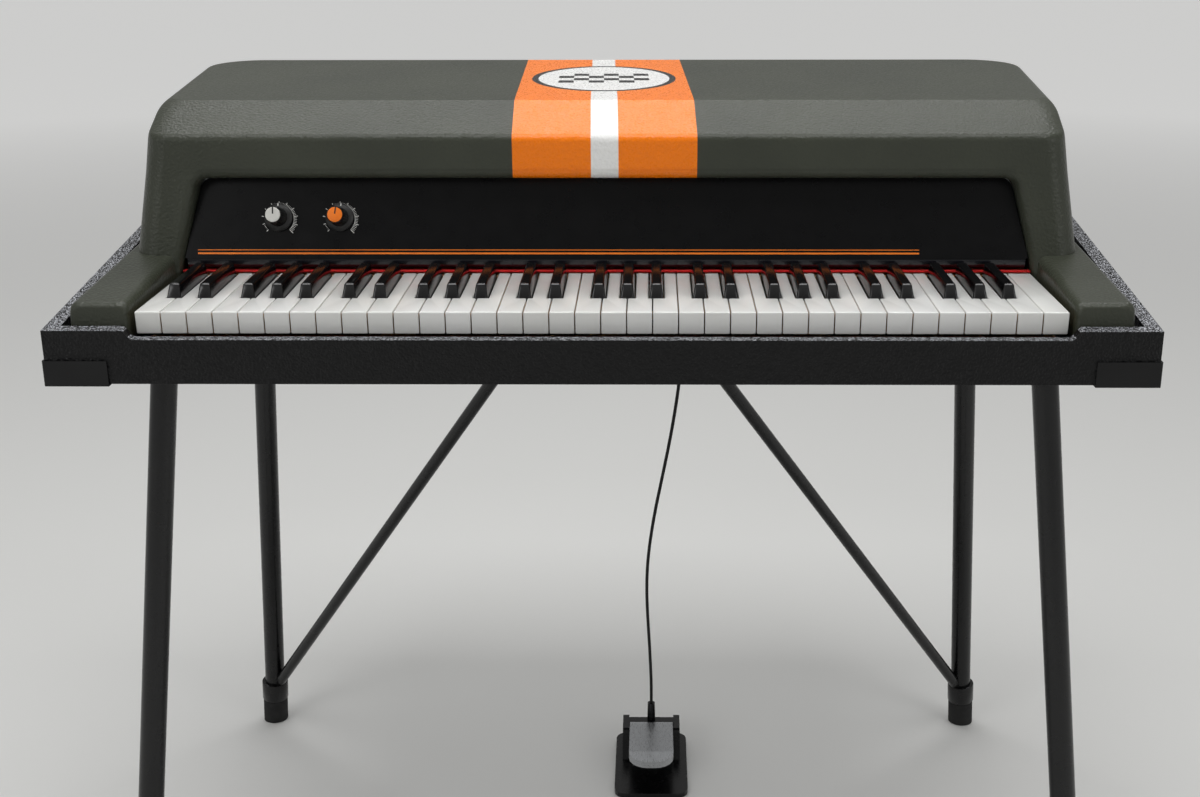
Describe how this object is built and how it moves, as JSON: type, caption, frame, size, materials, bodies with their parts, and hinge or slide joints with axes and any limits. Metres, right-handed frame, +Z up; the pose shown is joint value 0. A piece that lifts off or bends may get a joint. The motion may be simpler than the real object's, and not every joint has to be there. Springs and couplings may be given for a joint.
{
  "type": "electric piano",
  "caption": "Stage electric piano with a lift-off moulded hood, hinged keys, tine harp, volume and tone knobs, splayed tube legs, cross braces and a cabled sustain pedal",
  "frame": {"origin": "on the floor under the middle of the outline", "axes": "+X to the treble end, +Y from the player to the back, +Z up"},
  "size_m": [1.0104, 0.5866, 0.8859],
  "materials": {
    "green_shell": "satin moulded plastic with a fine pebble grain",
    "vinyl_covered_wood": "plywood covered with black pebbled vinyl",
    "black_panel": "smooth black",
    "ivory": "polished moulded key top on a wooden lever",
    "ebony": "polished black",
    "key_wood": "plain softwood",
    "red_felt": "woven felt",
    "steel": "plated",
    "black_steel": "semi-gloss black enamel",
    "aluminium": "as extruded",
    "black_rubber": "matt",
    "black_plastic": "moulded",
    "circuit_board": "laminate"
  },
  "bodies": {
    "case": {"case_tray": "vinyl_covered_wood", "corner_protector_left": "black_steel", "corner_protector_right": "black_steel", "name_panel": "black_panel", "control_board": "circuit_board", "felt_strip": "red_felt", "key_frame": "key_wood", "action_bracket_left": "aluminium", "action_bracket_right": "aluminium", "hammer_rail": "black_plastic", "harp_frame": "steel", "pickup_rail": "black_steel", "leg_flange_front_left": "black_steel", "leg_flange_front_right": "black_steel", "leg_flange_rear_left": "black_steel", "leg_flange_rear_right": "black_steel", "leg_front_left": "black_steel", "leg_front_right": "black_steel", "leg_rear_left": "black_steel", "leg_rear_right": "black_steel", "foot_front_left": "black_rubber", "foot_front_right": "black_rubber", "foot_rear_left": "black_rubber", "foot_rear_right": "black_rubber", "brace_bracket": "black_steel", "brace_left": "black_steel", "brace_right": "black_steel", "pedal_base": "black_steel", "pedal_cable": "black_rubber", "cable_gland": "black_plastic", "output_jack": "steel"},
    "hood": {"hood": "green_shell"},
    "volume_knob": {"volume_knob": "black_plastic"},
    "tone_knob": {"tone_knob": "black_plastic"},
    "pedal_lever": {"pedal_lever": "steel"},
    "damper_rail": {"damper_rail": "aluminium"},
    "key_c4": {"key_c4": "ivory"},
    "key_c4_sharp": {"key_c4_sharp": "ebony"},
    "key_d4": {"key_d4": "ivory"},
    "key_d4_sharp": {"key_d4_sharp": "ebony"},
    "key_e4": {"key_e4": "ivory"},
    "key_f4": {"key_f4": "ivory"},
    "key_f4_sharp": {"key_f4_sharp": "ebony"},
    "key_g4": {"key_g4": "ivory"},
    "key_g4_sharp": {"key_g4_sharp": "ebony"},
    "key_a4": {"key_a4": "ivory"},
    "key_a4_sharp": {"key_a4_sharp": "ebony"},
    "key_b4": {"key_b4": "ivory"},
    "key_c5": {"key_c5": "ivory"},
    "key_c5_sharp": {"key_c5_sharp": "ebony"},
    "key_d5": {"key_d5": "ivory"},
    "key_d5_sharp": {"key_d5_sharp": "ebony"},
    "key_e5": {"key_e5": "ivory"},
    "key_f5": {"key_f5": "ivory"},
    "key_f5_sharp": {"key_f5_sharp": "ebony"},
    "key_g5": {"key_g5": "ivory"},
    "key_g5_sharp": {"key_g5_sharp": "ebony"},
    "key_a5": {"key_a5": "ivory"},
    "key_a5_sharp": {"key_a5_sharp": "ebony"},
    "key_b5": {"key_b5": "ivory"}
  },
  "joints": [
    {"name": "hood_lift", "type": "slide", "parent": "case", "child": "hood", "axis": [0, 0, 1], "range_m": [0, 0.28]},
    {"name": "volume_turn", "type": "hinge", "parent": "case", "child": "volume_knob", "pos_m": [-0.3259, -0.10967, 0.76691], "axis": [0, -0.9511, 0.309], "range_deg": [-135, 135]},
    {"name": "tone_turn", "type": "hinge", "parent": "case", "child": "tone_knob", "pos_m": [-0.2649, -0.10967, 0.76691], "axis": [0, -0.9511, 0.309], "range_deg": [-135, 135]},
    {"name": "pedal_press", "type": "hinge", "parent": "case", "child": "pedal_lever", "pos_m": [0.0465, 0.1646, 0.031], "axis": [1, 0, 0], "range_deg": [0, 12], "stiffness_Nm_per_rad": 6, "springref_deg": -11.46},
    {"name": "damper_release", "type": "hinge", "parent": "case", "child": "damper_rail", "pos_m": [0, 0.1546, 0.7695], "axis": [1, 0, 0], "range_deg": [0, 3.2]},
    {"name": "key_c4_press", "type": "hinge", "parent": "case", "child": "key_c4", "pos_m": [-0.08709, -0.0704, 0.6922], "axis": [1, 0, 0], "range_deg": [0, 2.8], "stiffness_Nm_per_rad": 1, "springref_deg": -9.17},
    {"name": "key_c4_sharp_press", "type": "hinge", "parent": "case", "child": "key_c4_sharp", "pos_m": [-0.07308, -0.0704, 0.6922], "axis": [1, 0, 0], "range_deg": [0, 2.8], "stiffness_Nm_per_rad": 1, "springref_deg": -9.17},
    {"name": "key_d4_press", "type": "hinge", "parent": "case", "child": "key_d4", "pos_m": [-0.05875, -0.0704, 0.6922], "axis": [1, 0, 0], "range_deg": [0, 2.8], "stiffness_Nm_per_rad": 1, "springref_deg": -9.17},
    {"name": "key_d4_sharp_press", "type": "hinge", "parent": "case", "child": "key_d4_sharp", "pos_m": [-0.04442, -0.0704, 0.6922], "axis": [1, 0, 0], "range_deg": [0, 2.8], "stiffness_Nm_per_rad": 1, "springref_deg": -9.17},
    {"name": "key_e4_press", "type": "hinge", "parent": "case", "child": "key_e4", "pos_m": [-0.03041, -0.0704, 0.6922], "axis": [1, 0, 0], "range_deg": [0, 2.8], "stiffness_Nm_per_rad": 1, "springref_deg": -9.17},
    {"name": "key_f4_press", "type": "hinge", "parent": "case", "child": "key_f4", "pos_m": [-0.01712, -0.0704, 0.6922], "axis": [1, 0, 0], "range_deg": [0, 2.8], "stiffness_Nm_per_rad": 1, "springref_deg": -9.17},
    {"name": "key_f4_sharp_press", "type": "hinge", "parent": "case", "child": "key_f4_sharp", "pos_m": [-0.00364, -0.0704, 0.6922], "axis": [1, 0, 0], "range_deg": [0, 2.8], "stiffness_Nm_per_rad": 1, "springref_deg": -9.17},
    {"name": "key_g4_press", "type": "hinge", "parent": "case", "child": "key_g4", "pos_m": [0.00993, -0.0704, 0.6922], "axis": [1, 0, 0], "range_deg": [0, 2.8], "stiffness_Nm_per_rad": 1, "springref_deg": -9.17},
    {"name": "key_g4_sharp_press", "type": "hinge", "parent": "case", "child": "key_g4_sharp", "pos_m": [0.0235, -0.0704, 0.6922], "axis": [1, 0, 0], "range_deg": [0, 2.8], "stiffness_Nm_per_rad": 1, "springref_deg": -9.17},
    {"name": "key_a4_press", "type": "hinge", "parent": "case", "child": "key_a4", "pos_m": [0.03707, -0.0704, 0.6922], "axis": [1, 0, 0], "range_deg": [0, 2.8], "stiffness_Nm_per_rad": 1, "springref_deg": -9.17},
    {"name": "key_a4_sharp_press", "type": "hinge", "parent": "case", "child": "key_a4_sharp", "pos_m": [0.05064, -0.0704, 0.6922], "axis": [1, 0, 0], "range_deg": [0, 2.8], "stiffness_Nm_per_rad": 1, "springref_deg": -9.17},
    {"name": "key_b4_press", "type": "hinge", "parent": "case", "child": "key_b4", "pos_m": [0.06412, -0.0704, 0.6922], "axis": [1, 0, 0], "range_deg": [0, 2.8], "stiffness_Nm_per_rad": 1, "springref_deg": -9.17},
    {"name": "key_c5_press", "type": "hinge", "parent": "case", "child": "key_c5", "pos_m": [0.07741, -0.0704, 0.6922], "axis": [1, 0, 0], "range_deg": [0, 2.8], "stiffness_Nm_per_rad": 1, "springref_deg": -9.17},
    {"name": "key_c5_sharp_press", "type": "hinge", "parent": "case", "child": "key_c5_sharp", "pos_m": [0.09141, -0.0704, 0.6922], "axis": [1, 0, 0], "range_deg": [0, 2.8], "stiffness_Nm_per_rad": 1, "springref_deg": -9.17},
    {"name": "key_d5_press", "type": "hinge", "parent": "case", "child": "key_d5", "pos_m": [0.10575, -0.0704, 0.6922], "axis": [1, 0, 0], "range_deg": [0, 2.8], "stiffness_Nm_per_rad": 1, "springref_deg": -9.17},
    {"name": "key_d5_sharp_press", "type": "hinge", "parent": "case", "child": "key_d5_sharp", "pos_m": [0.12008, -0.0704, 0.6922], "axis": [1, 0, 0], "range_deg": [0, 2.8], "stiffness_Nm_per_rad": 1, "springref_deg": -9.17},
    {"name": "key_e5_press", "type": "hinge", "parent": "case", "child": "key_e5", "pos_m": [0.13409, -0.0704, 0.6922], "axis": [1, 0, 0], "range_deg": [0, 2.8], "stiffness_Nm_per_rad": 1, "springref_deg": -9.17},
    {"name": "key_f5_press", "type": "hinge", "parent": "case", "child": "key_f5", "pos_m": [0.14738, -0.0704, 0.6922], "axis": [1, 0, 0], "range_deg": [0, 2.8], "stiffness_Nm_per_rad": 1, "springref_deg": -9.17},
    {"name": "key_f5_sharp_press", "type": "hinge", "parent": "case", "child": "key_f5_sharp", "pos_m": [0.16086, -0.0704, 0.6922], "axis": [1, 0, 0], "range_deg": [0, 2.8], "stiffness_Nm_per_rad": 1, "springref_deg": -9.17},
    {"name": "key_g5_press", "type": "hinge", "parent": "case", "child": "key_g5", "pos_m": [0.17443, -0.0704, 0.6922], "axis": [1, 0, 0], "range_deg": [0, 2.8], "stiffness_Nm_per_rad": 1, "springref_deg": -9.17},
    {"name": "key_g5_sharp_press", "type": "hinge", "parent": "case", "child": "key_g5_sharp", "pos_m": [0.188, -0.0704, 0.6922], "axis": [1, 0, 0], "range_deg": [0, 2.8], "stiffness_Nm_per_rad": 1, "springref_deg": -9.17},
    {"name": "key_a5_press", "type": "hinge", "parent": "case", "child": "key_a5", "pos_m": [0.20157, -0.0704, 0.6922], "axis": [1, 0, 0], "range_deg": [0, 2.8], "stiffness_Nm_per_rad": 1, "springref_deg": -9.17},
    {"name": "key_a5_sharp_press", "type": "hinge", "parent": "case", "child": "key_a5_sharp", "pos_m": [0.21514, -0.0704, 0.6922], "axis": [1, 0, 0], "range_deg": [0, 2.8], "stiffness_Nm_per_rad": 1, "springref_deg": -9.17},
    {"name": "key_b5_press", "type": "hinge", "parent": "case", "child": "key_b5", "pos_m": [0.22862, -0.0704, 0.6922], "axis": [1, 0, 0], "range_deg": [0, 2.8], "stiffness_Nm_per_rad": 1, "springref_deg": -9.17}
  ],
  "couplings": [
    {"joint": "damper_release", "follows": "pedal_press", "ratio": 0.25}
  ]
}
